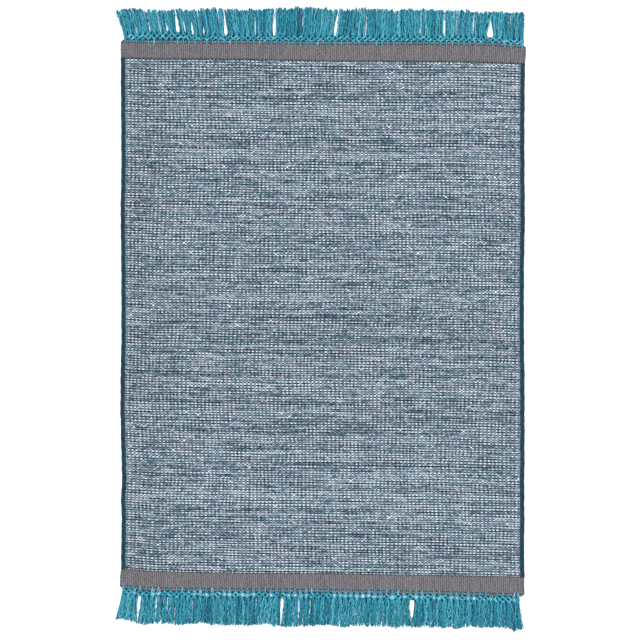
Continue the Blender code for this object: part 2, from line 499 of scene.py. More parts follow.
# The melange weft: how round a bead looks, and its tones from 0, dark, to 1, light
BEAD_BULGE = 0.08
CREASE_WIDTH = 0.22
PICK_SLIP = 1.3
MEAN_TONE = 0.56
STREAK_SWING = 1.4
ROW_SWING = 0.85
BEAD_SWING = 0.46
ODD_PICK_SWING = -0.54
EDGE_TONE = 0.15
SLUB_CHANCES = (0.994, 0.997)
SLUB_TONE = 0.4
COOL_YARN = (
    # tone, colour as a screen shows it
    (0.0, (3, 42, 54)),
    (0.25, (49, 83, 96)),
    (0.5, (104, 126, 140)),
    (0.75, (156, 177, 192)),
    (1.0, (207, 222, 232)),
)
SOFT_YARN = (
    # tone, colour as a screen shows it
    (0.0, (9, 39, 55)),
    (0.25, (55, 81, 98)),
    (0.5, (111, 124, 142)),
    (0.75, (165, 174, 193)),
    (1.0, (215, 220, 233)),
)

# The melange weft's light: its mean, what a crease takes away, and how far a bead stands out
# on an even pick and how much more on an odd one. Its slow changes run from one count of warps
# or picks to another, with the light that is added at each.
MEAN_LIGHT = 0.7
CREASE_LIGHT = -0.36
BEAD_CONTRAST = 1.06
ODD_PICK_CONTRAST = 0.85
DULL_SIDE = (0.0, 40.0, -0.055, 0.0)
DULL_PICK = 185.0
DULL_ROWS = (20.0, 110.0, -0.025, 0.0)
BRIGHT_FOOT = (130.0, 0.0, 0.0, 0.02)

# The bands, bindings and yarns: how far each cause swings the light of the wool, and from
# which to which height of a ridge a groove darkens it, with the light at each.
RIB_SWING = 0.7
FLECK_SWING = 1.7
BAND_FIBRE_SWING = 0.6
RIB_GROOVE = (0.75, 0.1, 0.0, -0.8)
WRAP_LIGHT = 1.1
WRAP_SWING = 0.6
WRAP_FIBRE_SWING = 1.0
WRAP_GROOVE = (0.6, 0.0, 0.0, -0.5)
PLY_GROOVE = -0.4
YARN_STREAK_SWING = 1.9
YARN_FIBRE_SWING = 0.9

# The band's colours change from one place to another, out from the hem line: where its loops
# begin, where the dark line along the hem begins and ends, and where the painted shade along
# the joint with the field ends
LOOPS_FROM = (-0.3 * MM, 0.8 * MM)
HEM_LINE_FROM = (-3.2 * MM, -1.6 * MM)
HEM_LINE_TO = (1.2 * MM, 0.2 * MM)
HEM_LINE_STRENGTH = 0.75
JOINT_SHADE_TO = (-45.4 * MM, -47.0 * MM)
JOINT_SHADE_STRENGTH = 0.8

# The heights between which a painted highlight lightens the top of a binding's yarn
BINDING_HIGHLIGHT_HEIGHTS = (5.6 * MM, 7.7 * MM)


def screen(red, green, blue):
    """A colour as a screen shows it, from 0 to 255, as the linear colour of a shader."""
    levels = np.array((red, green, blue)) / 255
    low = levels / 12.92
    high = ((levels + 0.055) / 1.055) ** 2.4
    return tuple(float(v) for v in np.where(levels <= 0.04045, low, high))


BAND_WARM = screen(121, 115, 118)
BAND_COOL = screen(108, 110, 109)
HEM_LINE = screen(42, 66, 74)
# Painted shade along the joint between the band and the field
JOINT_SHADE = screen(16, 28, 44)
BINDING_BLUE = screen(8, 44, 64)
# Painted highlight on the tops of the binding cords
BINDING_HIGHLIGHT = screen(27, 72, 84)
YARN_BRIGHT = screen(106, 190, 206)
YARN_DARK = screen(0, 80, 106)


def length_property(name, description, default):
    return FloatProperty(
        name=name,
        description=description,
        default=default,
        min=0.0,
        precision=5,
        subtype="DISTANCE",
        unit="LENGTH",
    )


def share_property(name, description, default):
    return FloatProperty(
        name=name,
        description=description,
        default=default,
        min=0.0,
        subtype="FACTOR",
    )


def count_property(name, description, default, least=1):
    return IntProperty(name=name, description=description, default=default, min=least)


def colour_property(name, description, default):
    return FloatVectorProperty(
        name=name,
        description=description,
        default=default,
        min=0.0,
        max=1.0,
        size=3,
        subtype="COLOR",
    )


class RugWeaveSettings(bpy.types.PropertyGroup):
    """Sizes of the woven cloth and its bindings"""

    warp_pitch: length_property("Warp pitch", "From one warp to the next", 5.65 * MM)
    pick_pitch: length_property("Pick pitch", "From one weft pick to the next", 3.78 * MM)
    field_height: length_property("Field height", "Mean height of the field", 6.7 * MM)
    bead_height: length_property("Bead height", "Rise of a weft bead", 0.75 * MM)
    band_rib: length_property("Band rib", "Width of a rib in the end bands", 5.65 * MM)
    binding_width: length_property("Binding width", "Across a side binding", 13 * MM)
    wrap_pitch: length_property("Wrap pitch", "From one wrap to the next", 4.4 * MM)


class RugFringeSettings(bpy.types.PropertyGroup):
    """Sizes of the nets and the fringe"""

    hooks: count_property("Hooks", "How many yarn hooks go through each hem", 69, 3)
    hook_pitch: length_property("Hook pitch", "From one hook to the next", 17.37 * MM)
    cord_width: length_property("Cord width", "Thickness of a net cord", 5.4 * MM)
    yarn_width: length_property("Yarn width", "Thickness of a fringe yarn", 2.7 * MM)
    upper_yarns: count_property("Upper yarns", "Yarns on top of the fringe at each knot", 7)
    stray_yarns: count_property("Stray yarns", "Yarns that wander over them at a knot", 4, 0)
    lower_yarns: count_property("Lower yarns", "Yarns below them at each knot", 5)


class RugColourSettings(bpy.types.PropertyGroup):
    """Colours of the yarns"""

    band: colour_property("Band", "Grey wool of the end bands", screen(110, 108, 116))
    hem_loop: colour_property("Hem loop", "Loops along the hem", screen(134, 132, 148))
    binding: colour_property("Binding", "Teal of the side cords", screen(10, 52, 65))
    fringe: colour_property("Fringe", "Turquoise of the fringe", screen(44, 141, 163))
    tip: colour_property("Tip", "Turquoise of the cut ends", screen(22, 119, 144))
    # Painted shade: the dark colour of the lower yarns and of the ground below the nets
    deep_shade: colour_property("Deep", "The fringe's lower yarns", screen(2, 76, 97))
    floor: colour_property("Floor", "Pale floor", (0.93, 0.97, 1.0))


class RugStageSettings(bpy.types.PropertyGroup):
    """Camera and light"""

    lens: FloatProperty(
        name="Lens",
        description="Focal length of the camera in mm",
        default=85.0,
        min=10.0,
    )
    view_width: length_property("View width", "Width that the camera sees", 640 * 2.974 * MM)
    sky: share_property("Sky", "Strength of the light from all round", 1.2)
    lamp: share_property("Lamp", "Strength of the soft lamp", 1.1)
    softness: FloatProperty(
        name="Softness",
        description="Angle over which the lamp spreads",
        default=0.6,
        min=0.0,
        subtype="ANGLE",
        unit="ROTATION",
    )


def column_of(table, column, where):
    """Read one column of a table in mm, in metres, on straight lines between its rows."""
    rows = np.array(table, float) * MM
    return np.interp(where, rows[:, 0], rows[:, column])


class End(NamedTuple):
    """One end of the rug: which way is out, and how its net and fringe are made"""

    outward: int
    hem_column: int
    joint_column: int
    net: tuple
    fall: tuple
    partings: tuple
    shifts: tuple
    open_share: float
    hook_width: float
    sway: float

    def hem(self, x):
        return column_of(HEMS, self.hem_column, x)

    def joint(self, x):
        return column_of(HEMS, self.joint_column, x)

    def placed(self, points):
        """Carry points that are given as x and the way out to their place beside the hem."""
        points = points.copy()
        points[..., 1] = self.hem(points[..., 0]) + self.outward * points[..., 1]
        return points


ENDS = {
    "head": End(1, 1, 2, HEAD_NET, HEAD_FALL, HEAD_PARTINGS, HEAD_SHIFTS, 0.06, 0.75, 1.0),
    "foot": End(-1, 4, 3, FOOT_NET, FOOT_FALL, FOOT_PARTINGS, FOOT_SHIFTS, 0.55, 0.9, 1.8),
}


def lie_between_joints(x, share):
    """The y of a place at x and a share of the way from the foot's joint to the head's."""
    low = ENDS["foot"].joint(x)
    return low + share * (ENDS["head"].joint(x) - low)


def points_of(mesh):
    """The points of a mesh, one in each row."""
    points = np.empty(len(mesh.vertices) * 3, np.float32)
    mesh.vertices.foreach_get("co", points)
    return points.reshape(-1, 3).astype(float)


def set_points(mesh, points):
    mesh.vertices.foreach_set("co", np.ascontiguousarray(points, np.float32).ravel())
    mesh.update()


def points_at(x, y, z):
    """Points from their x, y and z. Any of them may be one number for all."""
    return np.stack(np.broadcast_arrays(x, y, z), -1)


def note_points(mesh, name, values):
    """Keep three numbers for each point of a mesh, for its material to read."""
    attribute = mesh.attributes.new(name, "FLOAT_VECTOR", "POINT")
    attribute.data.foreach_set("vector", np.ascontiguousarray(values, np.float32).ravel())


def mesh_from(bm, name):
    """Turn a bmesh into a mesh."""
    mesh = bpy.data.meshes.new(name)
    bm.to_mesh(mesh)
    bm.free()
    return mesh


def new_object(name, data):
    """An object in the scene for a mesh, a lamp or a camera."""
    thing = bpy.data.objects.new(name, data)
    bpy.context.scene.collection.objects.link(thing)
    return thing


def finish_piece(name, mesh, material, node, sharp_angle=SHARP_ANGLE):
    """Turn the faces outwards, and give the piece its material and its place in the rug."""
    bm = bmesh.new()
    bm.from_mesh(mesh)
    bmesh.ops.recalc_face_normals(bm, faces=bm.faces)
    bm.to_mesh(mesh)
    bm.free()
    mesh.shade_smooth()
    mesh.set_sharp_from_angle(angle=sharp_angle)
    mesh.materials.append(material)
    piece = new_object(name, mesh)
    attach(piece, "root")
    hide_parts(node)


def closed_grid(columns, rows, corners=None):
    """A unit sheet with walls and a floor below it; the floor's points have z below 0."""
    bm = bmesh.new()
    bmesh.ops.create_grid(bm, x_segments=columns, y_segments=rows, size=0.5)
    if corners is not None:
        chosen = [vert for vert in bm.verts if corners(vert.co)]
        bmesh.ops.connect_verts(bm, verts=chosen)
    rim = [edge for edge in bm.edges if edge.is_boundary]
    grown = bmesh.ops.extrude_edge_only(bm, edges=rim)["geom"]
    lower = [part for part in grown if isinstance(part, bmesh.types.BMVert)]
    bmesh.ops.translate(bm, verts=lower, vec=(0, 0, -1))
    rim = [edge for edge in bm.edges if edge.is_boundary]
    bmesh.ops.edgeloop_fill(bm, edges=rim)
    return bm


def steps_of(unit, axis, count):
    """Which step of a unit sheet each of its points lies on, from 0 to count."""
    return np.rint((unit[:, axis] + 0.5) * count)


def over_floor(unit, height):
    """The height of each point of a unit sheet, but 0 for the points of its floor."""
    return np.where(unit[:, 2] < -0.5, 0.0, height)


def ridges(steps):
    """One round ridge for each whole step."""
    return np.abs(np.sin(pi * steps))


def unit_tube(sides, rings):
    """A tube of radius 1 whose rings stand one apart along Z, closed at both ends."""
    bm = bmesh.new()
    bmesh.ops.create_circle(bm, segments=sides, radius=1.0)
    edges = bm.edges[:]
    for _ in range(rings - 1):
        grown = bmesh.ops.extrude_edge_only(bm, edges=edges)["geom"]
        new = {part for part in grown if isinstance(part, bmesh.types.BMVert)}
        bmesh.ops.translate(bm, verts=list(new), vec=(0, 0, 1))
        edges = [edge for edge in bm.edges if new.issuperset(edge.verts)]
    bmesh.ops.holes_fill(bm, edges=bm.edges, sides=sides)
    return bm


def arrayed(bm, count):
    """Copy a small shape count times. Its own points come back too, the same in each copy."""
    mesh = mesh_from(bm, "unit")
    unit = points_of(mesh)
    thing = new_object("unit", mesh)
    array = thing.modifiers.new("Array", "ARRAY")
    array.count = count
    array.use_relative_offset = False
    array.use_merge_vertices = False
    copies = thing.evaluated_get(bpy.context.evaluated_depsgraph_get())
    result = bpy.data.meshes.new_from_object(copies)
    bpy.data.objects.remove(thing, do_unlink=True)
    bpy.data.meshes.remove(mesh)
    return result, unit


def unit_vectors(vectors):
    return vectors / np.maximum(np.linalg.norm(vectors, axis=-1, keepdims=True), 1e-9)


def lay_yarns(paths, radii, tones, sides, ply_depth=0.0, flatness=CORD_FLATNESS):
    """Lay one tube along each path. Tones are a chance, a share of painted shade and a tip
    share, per ring.
    """
    count, rings, _ = paths.shape
    mesh, unit = arrayed(unit_tube(sides, rings), count)
    ring = np.rint(unit[:, 2]).astype(int)
    around = np.arctan2(unit[:, 1], unit[:, 0])[None, :]
    tangent = unit_vectors(np.gradient(paths, axis=1))
    run = paths[:, -1:] - paths[:, :1]
    side = np.cross(run, (0.0, 0.0, 1.0)) + 0 * tangent
    side = unit_vectors(side - tangent * (side * tangent).sum(-1, keepdims=True))
    up = np.cross(side, tangent)
    steps = np.linalg.norm(np.diff(paths, axis=1), axis=-1)
    along = np.concatenate([np.zeros((count, 1)), np.cumsum(steps, axis=1)], axis=1)[:, ring]
    phase = tones[:, ring, 0] * tau
    lobes = 1 + ply_depth * np.cos(2 * (around - along / PLY_TURN * tau - phase))
    reach = radii[:, ring] * lobes
    across = (reach * np.cos(around))[..., None] * side[:, ring]
    rise = (reach * np.sin(around) * flatness)[..., None] * up[:, ring]
    points = paths[:, ring] + across + rise
    points[..., 2] = np.maximum(points[..., 2], 0.0)
    set_points(mesh, points.reshape(-1, 3))
    turn = np.broadcast_to(around, along.shape)
    note_points(mesh, "yarn", points_at(np.cos(turn), np.sin(turn), along))
    note_points(mesh, "tone", tones[:, ring])
    return mesh


def lay_knots(centres, sizes, tones):
    """Put one small round knot on each centre."""
    bm = bmesh.new()
    bmesh.ops.create_icosphere(bm, subdivisions=2, radius=1.0)
    mesh, unit = arrayed(bm, len(centres))
    points = centres[:, None] + unit[None] * sizes[:, None]
    set_points(mesh, points.reshape(-1, 3))
    turn = np.broadcast_to(unit[None] * (1, 1, 3 * MM), points.shape)
    note_points(mesh, "yarn", turn)
    note_points(mesh, "tone", np.broadcast_to(tones[:, None], points.shape))
    return mesh


def join_meshes(meshes, name):
    """Join meshes that have the same attributes into one."""
    things = [new_object(name, mesh) for mesh in meshes]
    with bpy.context.temp_override(
        active_object=things[0],
        object=things[0],
        selected_editable_objects=things,
        selected_objects=things,
    ):
        bpy.ops.object.join()
    joined = things[0].data.copy()
    bpy.data.objects.remove(things[0], do_unlink=True)
    return joined


class Nodes:
    """Adds nodes to one tree. A value is a number, a colour or the output of a node."""

    def __init__(self, tree):
        self.tree = tree

    def add(self, kind, **settings):
        node = self.tree.nodes.new(kind)
        for name, value in settings.items():
            setattr(node, name, value)
        return node

    def feed(self, value, socket):
        if isinstance(value, bpy.types.NodeSocket):
            self.tree.links.new(value, socket)
        else:
            socket.default_value = value

    def fed(self, kind, *values, **settings):
        """Add a node, and feed its first inputs in their order."""
        node = self.add(kind, **settings)
        for value, socket in zip(values, node.inputs):
            self.feed(value, socket)
        return node.outputs

    def math(self, operation, *values):
        return self.fed("ShaderNodeMath", *values, operation=operation)[0]

    def plus(self, first, *others):
        for other in others:
            first = self.math("ADD", first, other)
        return first

    def minus(self, first, second):
        return self.math("SUBTRACT", first, second)

    def times(self, first, second):
        return self.math("MULTIPLY", first, second)

    def swing(self, chance, width):
        """Turn a chance of 0 to 1 into a value either side of 0."""
        return self.math("MULTIPLY_ADD", chance, width, -width / 2)

    def wave(self, value):
        """1 at even numbers and -1 at odd ones."""
        return self.math("COSINE", self.times(value, pi))

    def ridges(self, value):
        """One round ridge for each whole step."""
        return self.math("ABSOLUTE", self.math("SINE", self.times(value, pi)))

    def spread(self, value, low, high, to_low=0.0, to_high=1.0):
        """Map low to high onto another range, smoothly and held at its ends."""
        values = (value, low, high, to_low, to_high)
        return self.fed("ShaderNodeMapRange", *values, interpolation_type="SMOOTHSTEP")[0]

    def clouds(self, noise):
        """Stretch the middle of a noise, where most of it lies, to 0 to 1."""
        return self.spread(noise, 0.35, 0.65)

    def vector(self, x, y, z=0.0):
        return self.fed("ShaderNodeCombineXYZ", x, y, z)[0]

    def parts(self, vector):
        return self.fed("ShaderNodeSeparateXYZ", vector)

    def noise(self, vector, scale=1.0, detail=2.0, roughness=0.5):
        node = self.add("ShaderNodeTexNoise", noise_dimensions="3D")
        self.feed(vector, node.inputs["Vector"])
        self.feed(scale, node.inputs["Scale"])
        self.feed(detail, node.inputs["Detail"])
        self.feed(roughness, node.inputs["Roughness"])
        return node.outputs[0]

    def patches(self, x, by_x, y, by_y, z=0.0, **finish):
        """Noise over x and y. Its patches are longest the way it changes least with a step."""
        place = self.vector(self.times(x, by_x), self.times(y, by_y), z)
        return self.noise(place, **finish)

    def chance(self, vector):
        return self.fed("ShaderNodeTexWhiteNoise", vector, noise_dimensions="3D")["Value"]

    def mix(self, share, first, second):
        """From the first colour to the second."""
        node = self.add("ShaderNodeMix", data_type="RGBA")
        self.feed(share, node.inputs["Factor"])
        sockets = [socket for socket in node.inputs if socket.type == "RGBA"]
        for value, socket in zip((first, second), sockets):
            plain = not isinstance(value, bpy.types.NodeSocket)
            self.feed((*value, 1.0) if plain else value, socket)
        return [socket for socket in node.outputs if socket.type == "RGBA"][0]

    def shade(self, colour, brightness):
        node = self.add("ShaderNodeVectorMath", operation="SCALE")
        self.feed(colour, node.inputs[0])
        self.feed(brightness, node.inputs["Scale"])
        return node.outputs[0]

    def ramp(self, value, stops):
        node = self.add("ShaderNodeValToRGB")
        self.feed(value, node.inputs[0])
        elements = node.color_ramp.elements
        while len(elements) < len(stops):
            elements.new(0.5)
        for element, (place, colour) in zip(elements, stops):
            element.position = place
            element.color = (*screen(*colour), 1.0)
        return node.outputs[0]

    def note(self, name):
        """The three numbers that a piece keeps for each of its points, whole and apart."""
        vector = self.fed("ShaderNodeAttribute", attribute_name=name)["Vector"]
        return vector, *self.parts(vector)

    def group(self, name, *values):
        """Use one of the rug's shader groups, which is built the first time."""
        tree = bpy.data.node_groups.get(name) or build_group(name)
        return self.fed("ShaderNodeGroup", *values, node_tree=tree)


def fill_weave_group(nodes, warp, pick):
    """Plain weave: which pick shows, how far it is over the warps, and the edges of picks."""
    over_even = nodes.wave(warp)
    odd_share = nodes.math("PINGPONG", pick, 1.0)
    edge = nodes.math("MULTIPLY_ADD", over_even, BEAD_BULGE, 0.5)
    is_odd = nodes.math("GREATER_THAN", odd_share, edge)
    half = nodes.times(nodes.minus(pick, is_odd), 0.5)
    shown = nodes.math("MULTIPLY_ADD", nodes.math("ROUND", half), 2.0, is_odd)
    side = nodes.math("MULTIPLY_ADD", is_odd, -2.0, 1.0)
    over = nodes.math("MULTIPLY_ADD", nodes.times(over_even, side), 0.5, 0.5)
    from_edge = nodes.math("ABSOLUTE", nodes.minus(odd_share, edge))
    crease = nodes.spread(from_edge, CREASE_WIDTH, 0.0)
    return shown, is_odd, over, crease


def fill_twist_group(nodes, yarn, turn_length):
    """The slanting plies of a twisted yarn, from the angle round it and the way along it."""
    level, upright, along = nodes.parts(yarn)
    angle = nodes.times(nodes.math("DIVIDE", along, turn_length), tau)
    across = nodes.times(level, nodes.math("COSINE", angle))
    ply = nodes.plus(across, nodes.times(upright, nodes.math("SINE", angle)))
    ply = nodes.math("ABSOLUTE", ply)
    return ply, nodes.spread(ply, GROOVE_WIDTH, 0.0)


def fill_fibre_group(nodes, place, scale):
    """Fine wool fibres: a small height and a small change of tone."""
    fine = nodes.noise(place, scale, 3.0, 0.6)
    wide = nodes.noise(place, nodes.times(scale, 0.21), 2.0, 0.5)
    return fine, nodes.plus(nodes.times(fine, 0.55), nodes.times(wide, 0.45))


GROUPS = {
    # what fills it, its inputs, its outputs
    "Plain weave": (
        fill_weave_group,
        ("Warp", "Pick"),
        ("Pick shown", "Is odd", "Over", "Crease"),
    ),
    "Twisted yarn": (fill_twist_group, ("Yarn", "Turn length"), ("Ply", "Groove")),
    "Wool fibres": (fill_fibre_group, ("Place", "Scale"), ("Height", "Tone")),
}
VECTOR_SOCKETS = {"Yarn", "Place"}


def build_group(name):
    """Build one of the rug's shader groups, with its sockets."""
    fill, inputs, outputs = GROUPS[name]
    tree = bpy.data.node_groups.new(name, "ShaderNodeTree")
    nodes = Nodes(tree)
    for socket in inputs:
        kind = "NodeSocketVector" if socket in VECTOR_SOCKETS else "NodeSocketFloat"
        tree.interface.new_socket(name=socket, in_out="INPUT", socket_type=kind)
    for socket in outputs:
        tree.interface.new_socket(name=socket, in_out="OUTPUT", socket_type="NodeSocketFloat")
    given = nodes.add("NodeGroupInput").outputs
    results = fill(nodes, *(given[socket] for socket in inputs))
    for value, socket in zip(results, nodes.add("NodeGroupOutput").inputs):
        nodes.feed(value, socket)
    return tree


def plain_material(name, finish):
    """A material with a plain finish, its nodes, its shader and the place on the object."""
    material = bpy.data.materials.new(name)
    material.use_nodes = True
    shader = material.node_tree.nodes["Principled BSDF"]
    for socket, value in finish.items():
        shader.inputs[socket].default_value = value
    nodes = Nodes(material.node_tree)
    return material, nodes, shader, nodes.fed("ShaderNodeTexCoord")["Object"]


def wool_material(name):
    """A material with wool's plain finish; its colour, roughness and relief come later."""
    material, nodes, shader, place = plain_material(name, WOOL_FINISH)
    return material, nodes, shader, nodes.group("Wool fibres", place, FIBRE_SCALE)


def finish_wool(nodes, shader, colour, relief, fibres, depth):
    """Join up a wool material: its colour, its fibres' roughness and its raised relief."""
    height, tone = fibres
    nodes.feed(colour, shader.inputs["Base Color"])
    nodes.feed(nodes.spread(tone, 0.3, 0.7, *WOOL_ROUGHNESS), shader.inputs["Roughness"])
    bump = nodes.add("ShaderNodeBump")
    height = nodes.plus(relief, nodes.times(height, FIBRE_RELIEF))
    nodes.feed(height, bump.inputs["Height"])
    nodes.feed(depth, bump.inputs["Distance"])
    nodes.feed(BUMP_STRENGTH, bump.inputs["Strength"])
    nodes.feed(bump.outputs[0], shader.inputs["Normal"])


def melange_material():
    """Space-dyed weft: every pick changes colour along its own length."""
    material, nodes, shader, fibres = wool_material("melange weft")
    _, warp, pick, edge = nodes.note("weave")
    pair = nodes.math("ROUND", nodes.times(pick, 0.5))
    slip = nodes.patches(warp, 0.05, pair, 0.7, 7.0)
    warp = nodes.plus(warp, nodes.swing(slip, PICK_SLIP))
    shown, is_odd, over, crease = nodes.group("Plain weave", warp, pick)
    streak = nodes.patches(warp, 0.06, shown, 7.31, detail=3.0, roughness=0.6)
    row = nodes.patches(warp, 0.004, shown, 0.43, 5.0)
    chance = nodes.chance(nodes.vector(nodes.math("ROUND", warp), shown, 3.0))
    tone = nodes.plus(
        MEAN_TONE,
        nodes.swing(streak, STREAK_SWING),
        nodes.swing(row, ROW_SWING),
        nodes.swing(chance, BEAD_SWING),
        nodes.swing(is_odd, ODD_PICK_SWING),
        nodes.times(edge, EDGE_TONE),
        nodes.spread(chance, *SLUB_CHANCES, 0.0, SLUB_TONE),
    )
    hue = nodes.spread(nodes.patches(warp, 0.08, shown, 0.13, 9.0), 0.38, 0.7)
    yarn = nodes.mix(hue, nodes.ramp(tone, COOL_YARN), nodes.ramp(tone, SOFT_YARN))
    evenness = nodes.spread(nodes.patches(warp, 0.08, shown, 1.9, 4.0), 0.4, 0.75, 0.78, 0.3)
    by_pick = nodes.math("MULTIPLY_ADD", is_odd, ODD_PICK_CONTRAST, BEAD_CONTRAST)
    contrast = nodes.times(evenness, by_pick)
    from_dull_pick = nodes.math("ABSOLUTE", nodes.minus(pick, DULL_PICK))
    light = nodes.plus(
        MEAN_LIGHT,
        nodes.times(nodes.minus(over, 0.5), contrast),
        nodes.times(crease, CREASE_LIGHT),
        nodes.spread(warp, *DULL_SIDE),
        nodes.spread(from_dull_pick, *DULL_ROWS),
        nodes.spread(pick, *BRIGHT_FOOT),
    )
    relief = nodes.minus(over, nodes.times(crease, 0.4))
    finish_wool(nodes, shader, nodes.shade(yarn, light), relief, fibres, 0.6 * MM)
    return material


def band_material(colours):
    """Plain grey wool in fine ribs, with lighter loops along the hem and a dashed line of
    painted shade along the joint with the field.
    """
    material, nodes, shader, fibres = wool_material("grey band wool")
    place, rib, pick, out = nodes.note("weave")
    ridge = nodes.ridges(rib)
    rib_tone = nodes.patches(nodes.math("FLOOR", rib), 3.7, pick, 0.05)
    fleck = nodes.patches(rib, 1.3, pick, 0.5, 2.0)
    light = nodes.plus(
        1.0,
        nodes.swing(rib_tone, RIB_SWING),
        nodes.swing(fleck, FLECK_SWING),
        nodes.swing(fibres["Tone"], BAND_FIBRE_SWING),
        nodes.spread(ridge, *RIB_GROOVE),
    )
    grey = nodes.mix(nodes.clouds(nodes.noise(place, 0.35)), BAND_WARM, BAND_COOL)
    grey = nodes.mix(0.5, grey, tuple(colours.band))
    loop_noise = nodes.noise(nodes.vector(nodes.times(rib, 0.33), 4.0))
    loop = nodes.mix(nodes.clouds(loop_noise), tuple(colours.hem_loop), grey)
    colour = nodes.mix(nodes.spread(out, *LOOPS_FROM), grey, loop)
    hem_line = nodes.times(
        nodes.spread(out, *HEM_LINE_FROM),
        nodes.spread(out, *HEM_LINE_TO),
    )
    # Painted shade: dark dashes along the joint between the band and the field
    joint_shade = nodes.times(
        nodes.spread(out, *JOINT_SHADE_TO),
        nodes.spread(nodes.wave(rib), -0.3, 0.3),
    )
    colour = nodes.mix(nodes.times(hem_line, HEM_LINE_STRENGTH), colour, HEM_LINE)
    colour = nodes.mix(nodes.times(joint_shade, JOINT_SHADE_STRENGTH), colour, JOINT_SHADE)
    relief = nodes.times(nodes.ridges(pick), 0.35)
    finish_wool(nodes, shader, nodes.shade(colour, light), relief, fibres, 0.5 * MM)
    return material


def binding_material(colours):
    """Dark teal yarn wrapped round and round the side cords."""
    material, nodes, shader, fibres = wool_material("teal binding yarn")
    _, _, wraps, height = nodes.note("wrap")
    ridge = nodes.ridges(wraps)
    chance = nodes.chance(nodes.vector(nodes.math("FLOOR", wraps), 5.0))
    drift = nodes.noise(nodes.vector(nodes.times(wraps, 0.09), 2.0))
    base = nodes.mix(nodes.clouds(drift), tuple(colours.binding), BINDING_BLUE)
    # Painted highlight: the yarn turns lighter on the tops of the cords.
    base = nodes.mix(nodes.spread(height, *BINDING_HIGHLIGHT_HEIGHTS, 0.0, 0.5), base, BINDING_HIGHLIGHT)
    light = nodes.plus(
        WRAP_LIGHT,
        nodes.swing(chance, WRAP_SWING),
        nodes.swing(fibres["Tone"], WRAP_FIBRE_SWING),
        nodes.spread(ridge, *WRAP_GROOVE),
    )
    relief = nodes.times(ridge, 0.5)
    finish_wool(nodes, shader, nodes.shade(base, light), relief, fibres, 0.6 * MM)
    return material


def fringe_material(name, colours, turn_length):
    """Soft twisted turquoise yarn, with painted shade in its grooves and on the yarns below."""
    material, nodes, shader, fibres = wool_material(name)
    yarn, _, _, along = nodes.note("yarn")
    _, chance, depth, tip = nodes.note("tone")
    ply, groove = nodes.group("Twisted yarn", yarn, turn_length)
    streak = nodes.patches(chance, 97.0, along, 150.0)
    base = nodes.mix(tip, tuple(colours.fringe), tuple(colours.tip))
    base = nodes.mix(nodes.spread(chance, 0.6, 1.0, 0.0, 0.8), base, YARN_BRIGHT)
    base = nodes.mix(nodes.spread(chance, 0.4, 0.0, 0.0, 0.85), base, YARN_DARK)
    # Painted shade: the lower yarns and the ground below the net take the deep colour.
    base = nodes.mix(depth, base, tuple(colours.deep_shade))
    light = nodes.plus(
        1.0,
        nodes.times(groove, PLY_GROOVE),
        nodes.swing(streak, YARN_STREAK_SWING),
        nodes.swing(fibres["Tone"], YARN_FIBRE_SWING),
    )
    relief = nodes.times(ply, 0.6)
    finish_wool(nodes, shader, nodes.shade(base, light), relief, fibres, 0.6 * MM)
    return material


def floor_material(colours):
    """A plain pale floor, matt and a little aglow, as in a studio."""
    colour = (*colours.floor, 1.0)
    finish = {
        "Base Color": colour,
        "Specular IOR Level": FLOOR_SHINE,
        "Emission Color": colour,
        "Emission Strength": FLOOR_GLOW,
    }
    material, nodes, shader, place = plain_material("pale floor", finish)
    grain = nodes.spread(nodes.noise(place, 3.0), 0.3, 0.7, 0.85, 0.95)
    nodes.feed(grain, shader.inputs["Roughness"])
    return material


def sides_at(y):
    """Where the left and the right side run at y."""
    return column_of(SIDES, 1, y), column_of(SIDES, 2, y)


def drift(waves, x, y):
    """How far a thread wanders aside at x and y."""
    return sum(width * MM * np.sin(by_x * x + by_y * y) for width, by_x, by_y in waves)


class RUG_OT_field(bpy.types.Operator):
    """Weave the melange field between the end bands"""

    bl_idname = "rug.field"
    bl_label = "Weave the field"

    def execute(self, context):
        sizes = context.scene.rug_weave
        margin = sizes.binding_width - BINDING_OVERLAP
        left, right = sides_at(0.0)
        warps = int(round((right - left - 2 * margin) / sizes.warp_pitch / 2)) * 2
        picks = int(round(2 * FIELD_HALF_LENGTH / sizes.pick_pitch))

        def between_beads(place):
            return round((place.x + 0.5) * warps + (place.y + 0.5) * picks) % 2 == 1

        mesh = mesh_from(closed_grid(warps, picks, between_beads), "woven_field")
        unit = points_of(mesh)
        warp = steps_of(unit, 0, warps)
        pick = steps_of(unit, 1, picks)
        level_y = (2 * pick / picks - 1) * FIELD_HALF_LENGTH
        left, right = sides_at(level_y)
        share = warp / warps
        x = left + margin + share * (right - left - 2 * margin)
        from_joint = np.minimum(pick, picks - pick)
        y = lie_between_joints(x, pick / picks)
        free = np.clip(from_joint / STEADY_PICKS, STEADIEST_SHARE, 1)
        y += free * drift(PICK_DRIFTS, x, level_y)
        from_side = np.minimum(warp, warps - warp)
        x += np.clip(from_side / STEADY_WARPS, 0, 1) * drift(WARP_DRIFTS, x, level_y)
        chance = np.random.RandomState(SEED).uniform(*BEAD_SPREAD, (picks + 1, warps + 1))
        lift = np.where((warp + pick) % 2 == 0, 1.0, -1.0)
        lift *= chance[pick.astype(int), warp.astype(int)]
        z = sizes.field_height + sizes.bead_height * lift
        z = over_floor(unit, np.where(from_side == 0, FIELD_EDGE_HEIGHT, z))
        set_points(mesh, points_at(x, y, z))
        edge = np.clip(1 - from_side / EDGE_WARPS, 0, 1)
        note_points(mesh, "weave", points_at(warp, pick, edge))
        finish_piece("woven_field", mesh, melange_material(), "woven_cloth")
        return {"FINISHED"}


